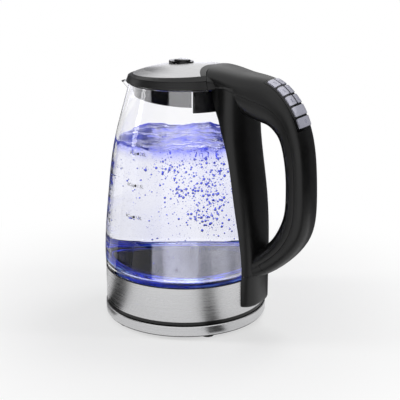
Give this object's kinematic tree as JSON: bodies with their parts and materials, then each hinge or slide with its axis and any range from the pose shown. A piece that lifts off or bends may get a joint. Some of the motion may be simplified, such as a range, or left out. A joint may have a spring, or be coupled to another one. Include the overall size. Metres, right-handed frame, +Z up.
{
  "type": "electric kettle",
  "caption": "Cordless glass kettle with a hinged lid, release button, side handle with a keypad and a round power base.",
  "frame": {"origin": "on the table below the middle of the whole length; the jug's axis is 28.7 mm from it towards the lip", "axes": "+Z up, +X towards the handle, -X towards the pouring lip"},
  "size_m": [0.2177, 0.16, 0.2526],
  "materials": {
    "black_satin": "satin moulded plastic",
    "black_matte": "plain moulded plastic",
    "black_gloss": "polished plastic",
    "steel": "brushed round the axis",
    "screw_steel": "plated",
    "spreader_metal": "cast",
    "contact_brass": "bright",
    "rubber_black": "moulded",
    "seal_clear": "silicone",
    "board_green": "glass fibre board",
    "light_guide": "clear light guide",
    "key_silver": "translucent silver",
    "clear_glass": "clear"
  },
  "bodies": {
    "power_base": {"base_shell": "black_satin", "base_trim_ring": "steel", "base_bottom_cover": "black_matte", "base_feet": "rubber_black", "base_screws": "screw_steel", "cord_gland": "rubber_black"},
    "connector": {"base_connector": "black_matte", "connector_contacts": "contact_brass"},
    "kettle": {"socket_connector": "black_matte", "socket_contacts": "contact_brass", "bottom_cover": "black_satin", "bottom_screws": "screw_steel", "steel_band": "steel", "inner_chassis": "black_matte", "light_ring": "light_guide", "led_board": "board_green", "heater_plate": "steel", "heat_spreader": "spreader_metal", "heating_element": "spreader_metal", "thermal_cutout": "black_matte", "temperature_sensor": "contact_brass", "power_board": "board_green", "power_relay": "black_matte", "jug_seal": "seal_clear", "band_seal": "rubber_black", "glass_jug": "clear_glass", "hinge_pin": "screw_steel", "hinge_spring": "screw_steel", "wire_harness": "rubber_black", "key_panel": "black_gloss", "key_board": "board_green", "key_switches": "black_matte", "handle_cover": "black_satin", "handle_frame": "black_satin", "handle_foot": "black_satin", "handle_screws": "screw_steel", "rim_clip": "black_matte", "clip_screws": "screw_steel"},
    "lid": {"lid_shell": "black_satin", "lid_plate": "steel", "lid_skirt": "steel", "lid_inner": "black_matte", "lid_seal": "seal_clear", "lid_screws": "screw_steel", "lid_hinge_arm": "black_satin", "button_bezel": "black_gloss", "button_spring": "screw_steel"},
    "button": {"lid_button": "black_gloss"},
    "latch": {"lid_latch": "black_matte"},
    "key_1": {"key_1": "key_silver"},
    "key_2": {"key_2": "key_silver"},
    "key_3": {"key_3": "key_silver"},
    "key_4": {"key_4": "key_silver"},
    "key_5": {"key_5": "key_silver"},
    "key_6": {"key_6": "key_silver"},
    "key_7": {"key_7": "key_silver"},
    "key_8": {"key_8": "key_silver"}
  },
  "joints": [
    {"name": "connector_turn", "type": "hinge", "parent": "power_base", "child": "connector", "pos_m": [-0.0287, 0, 0.012], "axis": [0, 0, 1], "continuous": true},
    {"name": "kettle_lift", "type": "slide", "parent": "connector", "child": "kettle", "axis": [0, 0, 1], "range_m": [0, 0.04]},
    {"name": "lid_hinge", "type": "hinge", "parent": "kettle", "child": "lid", "pos_m": [0.0233, 0, 0.23795], "axis": [0, 1, 0], "range_deg": [0, 75]},
    {"name": "button_press", "type": "slide", "parent": "lid", "child": "button", "axis": [0, 0, -1], "range_m": [0, 0.002], "stiffness_N_per_m": 400, "springref_m": -0.001, "deforming": ["button_spring"]},
    {"name": "latch_slide", "type": "slide", "parent": "lid", "child": "latch", "axis": [-1, 0, 0], "range_m": [0, 0.002]},
    {"name": "key_1_press", "type": "slide", "parent": "kettle", "child": "key_1", "axis": [-0.4122, 0, -0.9111], "range_m": [0, 0.0008], "stiffness_N_per_m": 800, "springref_m": -0.0004},
    {"name": "key_2_press", "type": "slide", "parent": "kettle", "child": "key_2", "axis": [-0.4122, 0, -0.9111], "range_m": [0, 0.0008], "stiffness_N_per_m": 800, "springref_m": -0.0004},
    {"name": "key_3_press", "type": "slide", "parent": "kettle", "child": "key_3", "axis": [-0.6189, 0, -0.7855], "range_m": [0, 0.0008], "stiffness_N_per_m": 800, "springref_m": -0.0004},
    {"name": "key_4_press", "type": "slide", "parent": "kettle", "child": "key_4", "axis": [-0.6189, 0, -0.7855], "range_m": [0, 0.0008], "stiffness_N_per_m": 800, "springref_m": -0.0004},
    {"name": "key_5_press", "type": "slide", "parent": "kettle", "child": "key_5", "axis": [-0.7677, 0, -0.6408], "range_m": [0, 0.0008], "stiffness_N_per_m": 800, "springref_m": -0.0004},
    {"name": "key_6_press", "type": "slide", "parent": "kettle", "child": "key_6", "axis": [-0.7677, 0, -0.6408], "range_m": [0, 0.0008], "stiffness_N_per_m": 800, "springref_m": -0.0004},
    {"name": "key_7_press", "type": "slide", "parent": "kettle", "child": "key_7", "axis": [-0.8669, 0, -0.4984], "range_m": [0, 0.0008], "stiffness_N_per_m": 800, "springref_m": -0.0004},
    {"name": "key_8_press", "type": "slide", "parent": "kettle", "child": "key_8", "axis": [-0.9261, 0, -0.3773], "range_m": [0, 0.0008], "stiffness_N_per_m": 800, "springref_m": -0.0004}
  ],
  "couplings": [
    {"joint": "latch_slide", "follows": "button_press", "ratio": 1}
  ]
}
